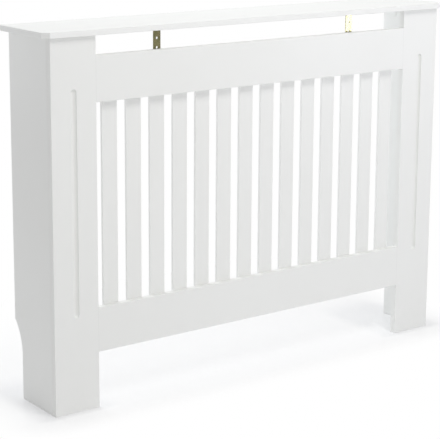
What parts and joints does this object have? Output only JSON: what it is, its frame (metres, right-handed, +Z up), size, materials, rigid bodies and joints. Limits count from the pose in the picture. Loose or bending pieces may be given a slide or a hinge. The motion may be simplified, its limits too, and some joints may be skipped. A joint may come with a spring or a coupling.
{
  "type": "radiator cover cabinet",
  "caption": "White slatted radiator cover: a shelf on two side panels, fluted front stiles, two rails, a grille of vertical slats and a vent gap under the shelf.",
  "frame": {"origin": "on the floor under the middle of the shelf, at the bottom centre of the bounding box", "axes": "+X to the right of someone who faces the cover, +Y back to the wall, +Z up; the fluted front faces -Y"},
  "size_m": [1.115, 0.19, 0.815],
  "materials": {
    "white_board": "fibreboard with a satin white paint film, eased arrises",
    "bracket_steel": "bent strip with yellow passivated zinc plating",
    "cam_zinc": "die-cast zinc and plated steel",
    "dowel_beech": "bare turned beech"
  },
  "bodies": {
    "root": {"top_shelf": "white_board", "left_side_panel": "white_board", "right_side_panel": "white_board", "left_stile": "white_board", "right_stile": "white_board", "top_rail": "white_board", "bottom_rail": "white_board", "slat_01": "white_board", "slat_02": "white_board", "slat_03": "white_board", "slat_04": "white_board", "slat_05": "white_board", "slat_06": "white_board", "slat_07": "white_board", "slat_08": "white_board", "slat_09": "white_board", "slat_10": "white_board", "slat_11": "white_board", "slat_12": "white_board", "slat_13": "white_board", "slat_14": "white_board", "left_shelf_bracket": "bracket_steel", "right_shelf_bracket": "bracket_steel", "cam_lock_left_stile_1": "cam_zinc", "cam_bolt_left_stile_1": "cam_zinc", "cam_lock_left_stile_2": "cam_zinc", "cam_bolt_left_stile_2": "cam_zinc", "cam_lock_left_shelf_1": "cam_zinc", "cam_bolt_left_shelf_1": "cam_zinc", "cam_lock_left_shelf_2": "cam_zinc", "cam_bolt_left_shelf_2": "cam_zinc", "panel_dowel_left_1": "dowel_beech", "panel_dowel_left_2": "dowel_beech", "top_rail_dowel_left_1": "dowel_beech", "top_rail_dowel_left_2": "dowel_beech", "bottom_rail_dowel_left_1": "dowel_beech", "bottom_rail_dowel_left_2": "dowel_beech", "cam_lock_right_stile_1": "cam_zinc", "cam_bolt_right_stile_1": "cam_zinc", "cam_lock_right_stile_2": "cam_zinc", "cam_bolt_right_stile_2": "cam_zinc", "cam_lock_right_shelf_1": "cam_zinc", "cam_bolt_right_shelf_1": "cam_zinc", "cam_lock_right_shelf_2": "cam_zinc", "cam_bolt_right_shelf_2": "cam_zinc", "panel_dowel_right_1": "dowel_beech", "panel_dowel_right_2": "dowel_beech", "top_rail_dowel_right_1": "dowel_beech", "top_rail_dowel_right_2": "dowel_beech", "bottom_rail_dowel_right_1": "dowel_beech", "bottom_rail_dowel_right_2": "dowel_beech"}
  },
  "joints": []
}
